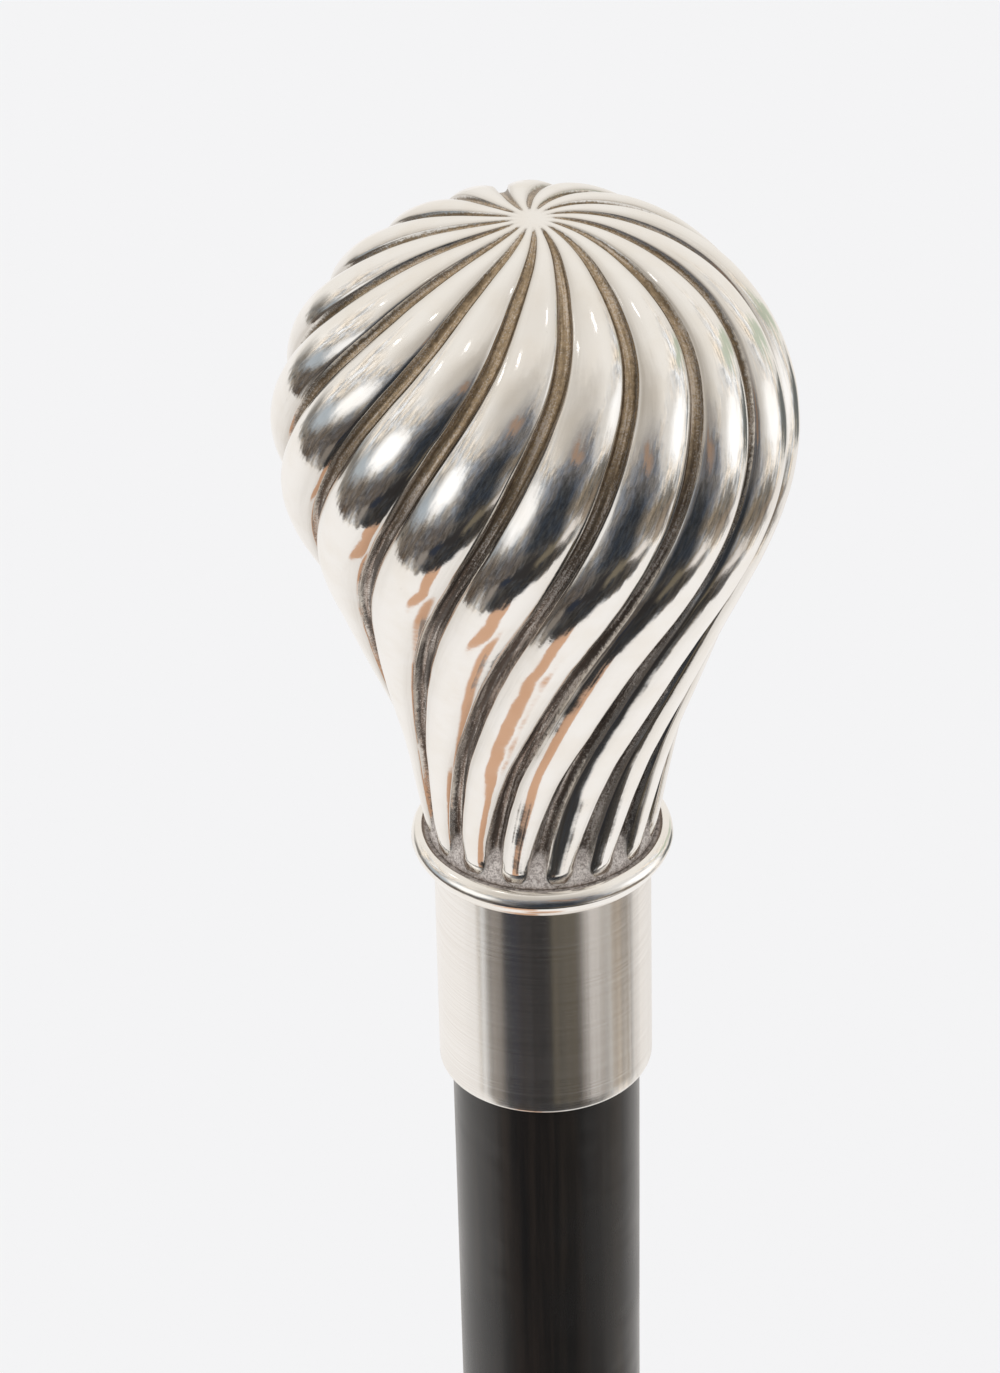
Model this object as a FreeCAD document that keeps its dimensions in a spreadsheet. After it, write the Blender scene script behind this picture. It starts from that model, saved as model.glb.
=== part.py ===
import FreeCAD, Part
import math
import os
import Sketcher

# Walking stick with a lobed silver knob handle. Origin at the centre of the foot,
# +Z up the stick. Lengths in millimetres, angles in degrees.

doc = FreeCAD.newDocument("walking_stick")
sizes = doc.addObject("Spreadsheet::Sheet", "Sizes")

STICK = {
    "stick_length": 915,
    "shaft_top_radius": 9.5,
    "shaft_foot_radius": 6.8,
    "bond_gap": 0.05,
    "cut_overrun": 1,
}

# Line over the top of a lobe, heights counted from the seat that the knob stands on
KNOB = {
    "knob_height": 67.8,
    "knob_radius": 24.7,
    "widest_height": 46.1,
    "swell_radius": 23.1,
    "swell_height": 37.5,
    "under_radius": 19.95,
    "under_height": 30,
    "waist_radius": 16.2,
    "waist_height": 20.5,
    "neck_radius": 13.85,
    "neck_height": 13.5,
    "throat_radius": 11.9,
    "throat_height": 3.8,
    "lobe_end_radius": 11.5,
    "lobe_end_height": 1.7,
    "knob_foot_radius": 11.15,
    "pole_disc_radius": 2.1,
    "knob_wall": 0.8,
}

# Turn of a groove about the axis, counted from the front towards the right
TWIST_ANGLES = {
    "foot_twist_angle": -49.5,
    "throat_twist_angle": -47,
    "neck_twist_angle": -35.5,
    "waist_twist_angle": -24.5,
    "under_twist_angle": -11.5,
    "widest_twist_angle": 9,
    "upper_twist_angle": 19,
    "shoulder_twist_angle": 30,
    "crown_twist_angle": 38.5,
    "pole_twist_angle": 53,
}

# Part of the lobe spacing that a groove takes, its depth as a part of half its width,
# and how far a lobe falls to its edges, as a part of the spacing
SHARES = {
    "foot_groove_share": 0.44,
    "neck_groove_share": 0.3,
    "under_groove_share": 0.23,
    "widest_groove_share": 0.16,
    "upper_groove_share": 0.2,
    "shoulder_groove_share": 0.24,
    "crown_groove_share": 0.33,
    "pole_groove_share": 0.48,
    "foot_depth_share": 0.12,
    "throat_depth_share": 0.9,
    "widest_depth_share": 0.9,
    "pole_depth_share": 0.7,
    "foot_round_share": 0.02,
    "throat_round_share": 0.06,
    "neck_round_share": 0.07,
    "under_round_share": 0.11,
    "widest_round_share": 0.15,
    "shoulder_round_share": 0.09,
    "pole_round_share": 0.04,
}

COUNTS = {
    "lobe_count": 16,
}

# Bead ring with the plate that closes the knob
RING = {
    "bead_ring_radius": 11.37,
    "bead_radius": 1.46,
    "bead_drop": 1.12,
    "seat_radius": 11.75,
    "plate_height": 2.5,
    "plate_floor": 1.2,
    "plate_recess_radius": 8.2,
    "plate_bore_radius": 4.25,
}

COLLAR = {
    "collar_wall": 1.11,
    "collar_length": 25.4,
    "collar_edge": 0.25,
    "cap_thickness": 1.2,
}

STUD = {
    "stud_radius": 4,
    "stud_depth": 50,
    "stud_rise": 20,
    "stud_chamfer": 0.8,
    "insert_radius": 6.5,
    "insert_flange_radius": 7.6,
    "insert_flange_height": 2,
    "insert_length": 24,
}

FERRULE = {
    "ferrule_radius": 7,
    "ferrule_height": 26,
    "ferrule_wall": 1,
    "ferrule_bead_rise": 0.5,
    "ferrule_bead_height": 1.8,
    "ferrule_lip": 1.4,
    "tip_height": 3,
    "tip_edge_height": 1.2,
    "tip_face_radius": 5.4,
    "tip_spigot_height": 2,
    "pin_radius": 0.75,
    "pin_height": 14,
    "pin_setback": 0.05,
}


def fill_sheet():
    row = 1
    for group in (STICK, KNOB, TWIST_ANGLES, SHARES, COUNTS, RING, COLLAR, STUD, FERRULE):
        for name, value in group.items():
            sizes.set("A%d" % row, name)
            sizes.set("B%d" % row, str(value))
            sizes.setAlias("B%d" % row, name)
            row += 1
    doc.recompute()


def size(name):
    return float(sizes.get(name))


# Levels along the stick
SEAT_LEVEL = "(Sizes.stick_length - Sizes.knob_height)"
PLATE_LEVEL = "(%s - Sizes.plate_height)" % SEAT_LEVEL
CAP_LEVEL = "(%s - Sizes.cap_thickness)" % PLATE_LEVEL
COLLAR_LEVEL = "(%s - Sizes.collar_length)" % PLATE_LEVEL
SPIGOT_LEVEL = "(Sizes.tip_height + Sizes.tip_spigot_height)"

# Radii shared by pieces that fit one in the other
COLLAR_BORE = "(Sizes.shaft_top_radius + Sizes.bond_gap)"
COLLAR_RADIUS = "(%s + Sizes.collar_wall)" % COLLAR_BORE
FERRULE_BORE = "(Sizes.ferrule_radius - Sizes.ferrule_wall)"
SPIGOT_RADIUS = "(%s - Sizes.bond_gap)" % FERRULE_BORE
STUD_BORE = "(Sizes.stud_radius + Sizes.bond_gap)"
PIN_BORE = "(Sizes.pin_radius + Sizes.bond_gap)"

FULL_TURN = 360
QUARTER_TURN = 90
UP = FreeCAD.Vector(0, 0, 1)
AXIS_BASE = FreeCAD.Vector(0, 0, 0)

# The crown is a quarter of an ellipse: these angles are its named stations
CROWN_ANGLES = {"upper": 22.5, "shoulder": 45, "crown": 67.5}
FOOT_SECTIONS = 5
BODY_SECTIONS = 28
INNER_SECTIONS = 12
FAR_SIDE_POINTS = 4


def knob_stations():
    """Named points of the line over a lobe, foot first, as (name, radius, height)."""
    stations = [
        ("foot", size("knob_foot_radius"), 0),
        ("lobe_end", size("lobe_end_radius"), size("lobe_end_height")),
    ]
    for name in ("throat", "neck", "waist", "under", "swell"):
        stations.append((name, size(name + "_radius"), size(name + "_height")))
    radius = size("knob_radius")
    widest = size("widest_height")
    crown_rise = size("knob_height") - widest
    stations.append(("widest", radius, widest))
    for name, degrees in CROWN_ANGLES.items():
        angle = math.radians(degrees)
        height = widest + crown_rise * math.sin(angle)
        stations.append((name, radius * math.cos(angle), height))
    stations.append(("pole", 0, size("knob_height")))
    return stations


def curve_to_pole(points):
    """Smooth curve through the points, level where it meets the axis at the last one."""
    far_side = [FreeCAD.Vector(-point.x, 0, point.z) for point in reversed(points[:-1])]
    curve = Part.BSplineCurve()
    curve.interpolate(points + far_side[:FAR_SIDE_POINTS])
    curve.segment(curve.FirstParameter, curve.parameter(points[-1]))
    curve.setPole(curve.NbPoles, points[-1])
    return curve


class KnobLine:
    """Line over the top of a lobe, with the laws that hold along it."""

    def __init__(self):
        stations = knob_stations()
        points = [FreeCAD.Vector(radius, 0, height) for name, radius, height in stations]
        curve = curve_to_pole(points)
        self.edge = curve.toShape()
        self.length = self.edge.Length
        self.place = {}
        for (name, radius, height), point in zip(stations, points):
            self.place[name] = curve.length(curve.FirstParameter, curve.parameter(point))

    def law(self, kind, names, place):
        """Value of a law at a length along the line, with no overshoot between stations."""
        places = [self.place[name] for name in names]
        values = [size(name + "_" + kind) for name in names]
        return smooth_value(places, values, place)

    def twist(self, place):
        names = ("foot", "throat", "neck", "waist", "under",
                 "widest", "upper", "shoulder", "crown", "pole")
        return math.radians(self.law("twist_angle", names, place))

    def groove_share(self, place):
        names = ("foot", "neck", "under", "widest", "upper", "shoulder", "crown", "pole")
        return self.law("groove_share", names, place)

    def groove_depth(self, place, radius):
        names = ("foot", "throat", "widest", "pole")
        spacing = math.tau * radius / size("lobe_count")
        half_width = spacing * self.groove_share(place) / 2
        return half_width * self.law("depth_share", names, place)

    def lobe_round(self, place, radius):
        names = ("foot", "throat", "neck", "under", "widest", "shoulder", "pole")
        spacing = math.tau * radius / size("lobe_count")
        return spacing * self.law("round_share", names, place)

    def frame(self, place):
        """Point of the line and the outward normal there, level at the foot."""
        parameter = self.edge.getParameterByLength(place)
        point = self.edge.valueAt(parameter)
        along = self.edge.tangentAt(parameter) if place else UP
        return point, FreeCAD.Vector(along.z, 0, -along.x)


def smooth_value(places, values, place):
    """Cubic through the stations whose slopes never pass the neighbours' values."""
    steps = [(b - a) for a, b in zip(places, places[1:])]
    slopes = [(b - a) / step for a, b, step in zip(values, values[1:], steps)]
    bends = [slopes[0]]
    for before, after in zip(slopes, slopes[1:]):
        same_way = before * after > 0
        bends.append(2 * before * after / (before + after) if same_way else 0)
    bends.append(slopes[-1])
    index = 0
    while index < len(steps) - 1 and place > places[index + 1]:
        index += 1
    step = steps[index]
    t = min(max((place - places[index]) / step, 0), 1)
    start = (1 + 2 * t) * (1 - t) ** 2 * values[index]
    end = t * t * (3 - 2 * t) * values[index + 1]
    leave = t * (1 - t) ** 2 * step * bends[index]
    arrive = t * t * (t - 1) * step * bends[index + 1]
    return start + end + leave + arrive


def turned_point(point, normal, offset, azimuth):
    """Point at an offset along the normal, swung about the axis from the front."""
    radius = point.x + normal.x * offset
    height = point.z + normal.z * offset
    return FreeCAD.Vector(radius * math.sin(azimuth), -radius * math.cos(azimuth), height)


def bow(start, middle, end):
    """Parabola through three points."""
    pull = middle * 2 - (start + end) / 2
    curve = Part.BezierCurve()
    curve.setPoles([start, pull, end])
    return curve.toShape()


def knob_section(line, place, smooth):
    """Closed ring of groove bows and lobe bows at a length along the line."""
    point, normal = line.frame(place)
    count = int(size("lobe_count"))
    spacing = math.tau / count
    half_groove = spacing * line.groove_share(place) / 2
    edge_drop = 0 if smooth else line.lobe_round(place, point.x)
    floor_drop = 0 if smooth else edge_drop + line.groove_depth(place, point.x)
    bows = []
    for number in range(count):
        valley = line.twist(place) + spacing * number
        left = turned_point(point, normal, -edge_drop, valley - half_groove)
        floor = turned_point(point, normal, -floor_drop, valley)
        right = turned_point(point, normal, -edge_drop, valley + half_groove)
        crest = turned_point(point, normal, 0, valley + spacing / 2)
        following = turned_point(point, normal, -edge_drop, valley + spacing - half_groove)
        bows.append(bow(left, floor, right))
        bows.append(bow(right, crest, following))
    return Part.Wire(bows)


def knob_places(line):
    """Lengths along the line at which the sections stand, closer together at the foot."""
    span = line.place["throat"]
    top = line.length - size("pole_disc_radius")
    low = [span * number / FOOT_SECTIONS for number in range(FOOT_SECTIONS)]
    high = [span + (top - span) * number / BODY_SECTIONS for number in range(BODY_SECTIONS + 1)]
    return low + high


def lobed_solid(line):
    places = knob_places(line)
    sections = [knob_section(line, place, place == places[-1]) for place in places]
    return Part.makeLoft(sections, True, False)


def cavity_solid(line, gap):
    """Smooth inside of the knob, the wall's thickness under the groove floors."""
    start = line.place["throat"]
    span = line.length - size("pole_disc_radius") - start
    points = []
    for number in range(INNER_SECTIONS + 1):
        place = start + span * number / INNER_SECTIONS
        point, normal = line.frame(place)
        depth = line.lobe_round(place, point.x) + line.groove_depth(place, point.x)
        offset = depth + size("knob_wall") + gap
        points.append(point - normal * offset)
    inner = Part.BSplineCurve()
    inner.interpolate(points)
    low = FreeCAD.Vector(points[0].x, 0, 0)
    top = FreeCAD.Vector(0, 0, points[-1].z)
    outline = Part.Wire([
        Part.makeLine(AXIS_BASE, low),
        Part.makeLine(low, points[0]),
        inner.toShape(),
        Part.makeLine(points[-1], top),
        Part.makeLine(top, AXIS_BASE),
    ])
    return Part.Face(outline).revolve(AXIS_BASE, UP, FULL_TURN)


def place_at(piece, level):
    piece.setExpression("Placement.Base.z", level)


def shape_feature(name, shape, level):
    feature = doc.addObject("Part::Feature", name)
    feature.Shape = shape
    feature.Placement = FreeCAD.Placement(AXIS_BASE, FreeCAD.Rotation())
    feature.Label = name
    place_at(feature, level)
    return feature


def make_knob():
    line = KnobLine()
    shell = lobed_solid(line).cut(cavity_solid(line, 0))
    shape_feature("knob_shell", shell, SEAT_LEVEL)
    gap = size("bond_gap")
    rise = size("insert_length") - size("plate_height") + size("plate_floor")
    hollow = Part.makeCylinder(size("insert_radius") + gap, rise)
    flange_rise = size("insert_flange_height") - size("plate_height") + size("plate_floor")
    flange = Part.makeCylinder(size("insert_flange_radius") + gap, flange_rise)
    filler = cavity_solid(line, gap).cut(hollow.fuse(flange))
    shape_feature("knob_filler", filler, SEAT_LEVEL)


def plane_of(body, role):
    for feature in body.Origin.OriginFeatures:
        if feature.Role == role:
            return feature
    raise ValueError(role)


def new_sketch(body, name, role):
    sketch = body.newObject("Sketcher::SketchObject", name)
    sketch.AttachmentSupport = (plane_of(body, role), [""])
    sketch.MapMode = "FlatFace"
    return sketch


# Numbers that a sketch gives to a line's ends, a circle's centre and its two axes,
# whose origin is the start of the one across
START, END, CENTRE = range(1, 4)
UPRIGHT, ACROSS = range(-2, 0)


def bind(sketch, kind, first, second, text):
    """Distance from the sketch's origin to a line's start, tied to the sheet."""
    value = sizes.evalExpression(text)
    index = sketch.addConstraint(Sketcher.Constraint(kind, ACROSS, START, first, second, value))
    sketch.setExpression("Constraints[%d]" % index, text)


def outline_sketch(body, name, corners):
    """Closed outline in the radius-height plane whose corners are tied to the sheet."""
    sketch = new_sketch(body, name, "XZ_Plane")
    spots = []
    for across, upward in corners:
        x = sizes.evalExpression(across) if across else 0
        y = sizes.evalExpression(upward) if upward else 0
        spots.append(FreeCAD.Vector(x, y, 0))
    count = len(spots)
    for index in range(count):
        sketch.addGeometry(Part.LineSegment(spots[index], spots[(index + 1) % count]), False)
    for index in range(count):
        following = (index + 1) % count
        sketch.addConstraint(Sketcher.Constraint("Coincident", index, END, following, START))
    for index, (across, upward) in enumerate(corners):
        if across:
            bind(sketch, "DistanceX", index, START, across)
        else:
            sketch.addConstraint(Sketcher.Constraint("PointOnObject", index, START, UPRIGHT))
        if upward:
            bind(sketch, "DistanceY", index, START, upward)
        else:
            sketch.addConstraint(Sketcher.Constraint("PointOnObject", index, START, ACROSS))
    return sketch


def turned_body(name, level, corners):
    """Body turned about the stick's axis from an outline of (radius, height) corners."""
    body = doc.addObject("PartDesign::Body", name)
    body.Label = name
    sketch = outline_sketch(body, name + "_outline", corners)
    turning = body.newObject("PartDesign::Revolution", name + "_turning")
    turning.Profile = sketch
    turning.ReferenceAxis = (sketch, ["V_Axis"])
    turning.Angle = FULL_TURN
    sketch.Visibility = False
    if level:
        place_at(body, level)
    doc.recompute()
    return body


def cross_hole(body, name, height):
    """Hole for the ferrule's pin, right through the body along X."""
    before = body.Shape.Volume
    sketch = new_sketch(body, name + "_sketch", "YZ_Plane")
    middle = FreeCAD.Vector(0, sizes.evalExpression(height), 0)
    radius = sizes.evalExpression(PIN_BORE)
    sketch.addGeometry(Part.Circle(middle, UP, radius), False)
    sketch.addConstraint(Sketcher.Constraint("PointOnObject", 0, CENTRE, UPRIGHT))
    bind(sketch, "DistanceY", 0, CENTRE, height)
    index = sketch.addConstraint(Sketcher.Constraint("Radius", 0, radius))
    sketch.setExpression("Constraints[%d]" % index, PIN_BORE)
    pocket = body.newObject("PartDesign::Pocket", name)
    pocket.Profile = sketch
    pocket.Type = "Length"
    pocket.Midplane = True
    pocket.setExpression("Length", "(Sizes.ferrule_radius + Sizes.cut_overrun) * 2")
    doc.recompute()
    if not body.Shape.Volume < before:
        raise ValueError(name + " cuts nothing")


def cylinder(name, radius, height, level):
    solid = doc.addObject("Part::Cylinder", name)
    solid.setExpression("Radius", radius)
    solid.setExpression("Height", height)
    if level:
        place_at(solid, level)
    return solid


def cut(name, base, tool):
    result = doc.addObject("Part::Cut", name)
    result.Base = base
    result.Tool = tool
    return result


def make_base_ring():
    bead = doc.addObject("Part::Torus", "bead")
    bead.setExpression("Radius1", "Sizes.bead_ring_radius")
    bead.setExpression("Radius2", "Sizes.bead_radius")
    place_at(bead, "Sizes.plate_height - Sizes.bead_drop")
    plate = cylinder("plate", "Sizes.bead_ring_radius", "Sizes.plate_height", None)
    joined = doc.addObject("Part::Fuse", "bead_and_plate")
    joined.Base = bead
    joined.Tool = plate
    seat = cylinder("seat", "Sizes.seat_radius", "Sizes.bead_radius", "Sizes.plate_height")
    recess = cylinder("recess", "Sizes.plate_recess_radius", "Sizes.plate_height",
                      "Sizes.plate_floor")
    bore = cylinder("plate_bore", "Sizes.plate_bore_radius", "Sizes.plate_height", None)
    seated = cut("seated_ring", joined, seat)
    recessed = cut("recessed_ring", seated, recess)
    ring = cut("knob_base_ring", recessed, bore)
    ring.Label = "knob_base_ring"
    place_at(ring, PLATE_LEVEL)


def make_cap():
    disc = cylinder("cap_disc", COLLAR_BORE + " - Sizes.bond_gap", "Sizes.cap_thickness", None)
    bore = cylinder("cap_bore", "Sizes.plate_bore_radius", "Sizes.cap_thickness", None)
    cap = cut("collar_top_plate", disc, bore)
    cap.Label = "collar_top_plate"
    place_at(cap, CAP_LEVEL)


def make_collar():
    inner = COLLAR_BORE
    outer = COLLAR_RADIUS
    edge = "Sizes.collar_edge"
    turned_body("collar_tube", COLLAR_LEVEL, [
        (inner, edge),
        (inner + " + " + edge, None),
        (outer + " - " + edge, None),
        (outer, edge),
        (outer, "Sizes.collar_length"),
        (inner, "Sizes.collar_length"),
    ])


def make_stud():
    length = "(Sizes.stud_depth + Sizes.cap_thickness + Sizes.plate_height + Sizes.stud_rise)"
    radius = "Sizes.stud_radius"
    bevel = "Sizes.stud_chamfer"
    turned_body("joint_stud", CAP_LEVEL + " - Sizes.stud_depth", [
        (None, None),
        (radius + " - " + bevel, None),
        (radius, bevel),
        (radius, length + " - " + bevel),
        (radius + " - " + bevel, length),
        (None, length),
    ])


def make_insert():
    bore = STUD_BORE
    flange = "Sizes.insert_flange_radius"
    turned_body("knob_insert", PLATE_LEVEL + " + Sizes.plate_floor", [
        (bore, None),
        (flange, None),
        (flange, "Sizes.insert_flange_height"),
        ("Sizes.insert_radius", "Sizes.insert_flange_height"),
        ("Sizes.insert_radius", "Sizes.insert_length"),
        (bore, "Sizes.insert_length"),
    ])


def make_shaft():
    shoulder = "(Sizes.ferrule_height - %s)" % SPIGOT_LEVEL
    collar_end = "(%s - %s)" % (COLLAR_LEVEL, SPIGOT_LEVEL)
    top = "(%s - %s)" % (CAP_LEVEL, SPIGOT_LEVEL)
    floor = "(%s - Sizes.stud_depth)" % top
    shaft = turned_body("shaft", SPIGOT_LEVEL, [
        (None, None),
        (SPIGOT_RADIUS, None),
        (SPIGOT_RADIUS, shoulder),
        ("Sizes.shaft_foot_radius", shoulder),
        ("Sizes.shaft_top_radius", collar_end),
        ("Sizes.shaft_top_radius", top),
        (STUD_BORE, top),
        (STUD_BORE, floor),
        (None, floor),
    ])
    cross_hole(shaft, "shaft_pin_hole", "(Sizes.pin_height - %s)" % SPIGOT_LEVEL)


def make_sleeve():
    bore = FERRULE_BORE
    outer = "Sizes.ferrule_radius"
    raised = "(Sizes.ferrule_radius + Sizes.ferrule_bead_rise)"
    lip = "Sizes.shaft_foot_radius"
    length = "(Sizes.ferrule_height - Sizes.tip_height)"
    high = "(%s - Sizes.ferrule_lip)" % length
    low = "(%s - Sizes.ferrule_bead_height)" % high
    sleeve = turned_body("ferrule_sleeve", "Sizes.tip_height", [
        (bore, None),
        (outer, None),
        (outer, low),
        (raised, low + " + Sizes.ferrule_bead_rise"),
        (raised, high + " - Sizes.ferrule_bead_rise"),
        (lip, high),
        (lip, length),
        (bore, length),
    ])
    cross_hole(sleeve, "sleeve_pin_hole", "(Sizes.pin_height - Sizes.tip_height)")


def make_tip():
    turned_body("ferrule_tip", None, [
        (None, None),
        ("Sizes.tip_face_radius", None),
        ("Sizes.ferrule_radius", "Sizes.tip_edge_height"),
        ("Sizes.ferrule_radius", "Sizes.tip_height"),
        (SPIGOT_RADIUS, "Sizes.tip_height"),
        (SPIGOT_RADIUS, SPIGOT_LEVEL),
        (None, SPIGOT_LEVEL),
    ])


def make_pin():
    reach = "(Sizes.ferrule_radius - Sizes.pin_setback)"
    pin = cylinder("ferrule_pin", "Sizes.pin_radius", reach + " * 2", "Sizes.pin_height")
    pin.Label = "ferrule_pin"
    pin.Placement.Rotation = FreeCAD.Rotation(FreeCAD.Vector(0, 1, 0), QUARTER_TURN)
    pin.setExpression("Placement.Base.x", "-" + reach)


NODES = (
    "knob_shell",
    "knob_filler",
    "knob_insert",
    "knob_base_ring",
    "joint_stud",
    "collar_tube",
    "collar_top_plate",
    "shaft",
    "ferrule_sleeve",
    "ferrule_tip",
    "ferrule_pin",
)


def check_document():
    for item in doc.Objects:
        if "Invalid" in item.State or "Error" in item.State:
            raise ValueError(item.Name + " failed: " + str(item.State))


def write_nodes():
    os.makedirs("parts", exist_ok=True)
    for name in NODES:
        piece = doc.getObjectsByLabel(name)[0]
        shape = piece.Shape
        if shape.isNull() or not shape.isValid() or len(shape.Solids) != 1:
            raise ValueError(name + " isn't one valid solid")
        shape.exportStep(os.path.join("parts", name + ".step"))
        box = shape.BoundBox
        print(name, "volume", round(shape.Volume, 1), "z", round(box.ZMin, 2), round(box.ZMax, 2),
              "width", round(box.XLength, 2), round(box.YLength, 2))


fill_sheet()
make_knob()
make_base_ring()
make_cap()
make_collar()
make_stud()
make_insert()
make_shaft()
make_sleeve()
make_tip()
make_pin()
doc.recompute()
check_document()
write_nodes()
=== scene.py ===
import math
from typing import NamedTuple

import bpy
import numpy as np
from mathutils import Matrix, Vector


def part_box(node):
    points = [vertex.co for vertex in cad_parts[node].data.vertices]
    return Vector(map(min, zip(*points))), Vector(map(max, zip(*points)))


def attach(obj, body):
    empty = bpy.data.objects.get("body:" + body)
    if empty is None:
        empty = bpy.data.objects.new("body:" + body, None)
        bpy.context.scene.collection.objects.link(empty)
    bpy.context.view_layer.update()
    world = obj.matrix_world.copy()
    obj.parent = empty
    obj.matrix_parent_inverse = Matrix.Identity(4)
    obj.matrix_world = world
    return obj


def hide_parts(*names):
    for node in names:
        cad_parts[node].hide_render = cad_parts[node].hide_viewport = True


# Dress of a walking stick with a twisted, lobed silver knob.
# Metres, +Z up the stick, -Y towards the viewer of the photograph.

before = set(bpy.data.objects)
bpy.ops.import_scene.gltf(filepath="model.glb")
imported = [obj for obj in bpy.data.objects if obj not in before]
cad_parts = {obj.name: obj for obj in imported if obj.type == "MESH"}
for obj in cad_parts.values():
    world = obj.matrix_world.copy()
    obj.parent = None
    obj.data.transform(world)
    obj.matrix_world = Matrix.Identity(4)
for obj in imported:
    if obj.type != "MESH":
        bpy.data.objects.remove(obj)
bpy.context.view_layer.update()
MM = 0.001
SEED = 7

KNOB_FOOT, KNOB_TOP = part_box("knob_shell")[0].z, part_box("knob_shell")[1].z
RING_LOW, RING_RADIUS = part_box("knob_base_ring")[0].z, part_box("knob_base_ring")[1].x
COLLAR_LOW, COLLAR_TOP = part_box("collar_tube")[0].z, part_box("collar_tube")[1].z
COLLAR_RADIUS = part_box("collar_tube")[1].x
SHAFT_LOW, SHAFT_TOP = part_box("shaft")[0].z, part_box("shaft")[1].z
SHAFT_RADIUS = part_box("shaft")[1].x
SLEEVE_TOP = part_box("ferrule_sleeve")[1].z

# Knob

LOBES = 16
SPACING = math.tau / LOBES
KNOB_RADIUS = 24.7 * MM
KNOB_HEIGHT = 67.8 * MM
# Line over the top of a lobe up to the widest place, as shares of the knob's radius and height
BODY_LINE_SHARES = {
    "foot": (0.4514, 0),
    "lobe_end": (0.4656, 0.0251),
    "throat": (0.4818, 0.0560),
    "neck": (0.5607, 0.1991),
    "waist": (0.6559, 0.3024),
    "under": (0.8077, 0.4425),
    "swell": (0.9352, 0.5531),
    "widest": (1, 0.6799),
}
# Stations on the elliptic crown, in degrees of the ellipse from the widest place to the pole
CROWN_ANGLES = {"upper": 22.5, "shoulder": 45, "crown": 67.5}
# Points past the pole that keep the line round there, and steps in which it is measured
FAR_SIDE_POINTS = 4
LINE_STEPS = 6000

# Azimuth of a groove in degrees, counted from the front towards the right
TWIST = {
    "foot": -49.5,
    "throat": -47,
    "neck": -35.5,
    "waist": -24.5,
    "under": -11.5,
    "widest": 9,
    "upper": 19,
    "shoulder": 30,
    "crown": 38.5,
    "pole": 53,
}
# Part of the lobe spacing that a groove takes
GROOVE_SHARES = {
    "foot": 0.44,
    "neck": 0.3,
    "under": 0.23,
    "widest": 0.16,
    "upper": 0.2,
    "shoulder": 0.24,
    "crown": 0.33,
    "pole": 0.48,
}
# Depth of a groove as a part of half its width
DEPTH_SHARES = {"foot": 0.5, "throat": 1, "neck": 1.1, "widest": 1, "crown": 0.9, "pole": 0.5}
# Fall from the crest of a lobe to its edge, as a part of the lobe spacing
ROUND_SHARES = {
    "foot": 0.08,
    "throat": 0.09,
    "neck": 0.08,
    "under": 0.11,
    "widest": 0.15,
    "shoulder": 0.09,
    "pole": 0.04,
}
# How full a lobe and how flat a groove's floor is across: the powers of their sections
LOBE_POWER = 2.2
FLOOR_POWERS = {"foot": 2, "neck": 2, "under": 2.6, "widest": 4, "pole": 4}

# Rounded tip of a lobe: where it begins above the foot and over which length it widens
LOBE_TIP = 0.45 * MM
TIP_LENGTH = 1.7 * MM
TIP_POWER = 2.2
THINNEST_LOBE_SHARE = 0.03
# Lengths from the foot over which the grooves deepen and the stippled ground ends
FLARE_LENGTH = 2.6 * MM
GROUND_FADE = (2 * MM, 6 * MM)
# How much of the ground reaches a groove's edge, and how near a groove the lobes carry stain and painted
# shade
GROUND_EDGE_SHARE = 0.4
BESIDE_POWER = 3
# Length from the pole over which the grooves grow out of the bare disc
POLE_FADE = (1 * MM, 3.4 * MM)
# Hand-made unevenness: how far edges and crests stray, and over which length
EDGE_STRAY_SHARE = 0.07
CREST_STRAY = 0.03 * MM
WAVE_SHARES = (0.3, 1)
STRAY_WAVES = (0.7, 1.3, 2.3, 3.1)
STRAY_LENGTH = 12 * MM

# Points across a groove and a lobe, and rows up the knob, closer together at both ends
GROOVE_COLUMNS = 11
LOBE_COLUMNS = 17
FOOT_ROWS = 26
BODY_ROWS = 166
POLE_ROWS = 24
FOOT_STRETCH = 5 * MM
POLE_STRETCH = 6 * MM
POLE_CROWDING = 1.3
ACROSS_GROOVE = np.sin(np.linspace(-1, 1, GROOVE_COLUMNS) * math.pi / 2)
ACROSS_LOBE = np.linspace(-1, 1, LOBE_COLUMNS + 2)[1:-1]


def natural_spline(at, values, places):
    """Natural cubic through the values at the given parameters."""
    count = len(at)
    step = np.diff(at)
    rows = np.zeros((count, count))
    right = np.zeros(count)
    rows[0, 0] = 1
    rows[-1, -1] = 1
    for i in range(1, count - 1):
        rows[i, i - 1:i + 2] = step[i - 1], 2 * (step[i - 1] + step[i]), step[i]
        slopes = (values[i + 1] - values[i]) / step[i], (values[i] - values[i - 1]) / step[i - 1]
        right[i] = 6 * (slopes[0] - slopes[1])
    bend = np.linalg.solve(rows, right)
    k = np.clip(np.searchsorted(at, places, side="right") - 1, 0, count - 2)
    before = at[k + 1] - places
    after = places - at[k]
    cubes = (bend[k] * before ** 3 + bend[k + 1] * after ** 3) / (6 * step[k])
    line = (values[k] / step[k] - bend[k] * step[k] / 6) * before
    return cubes + line + (values[k + 1] / step[k] - bend[k + 1] * step[k] / 6) * after


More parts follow.
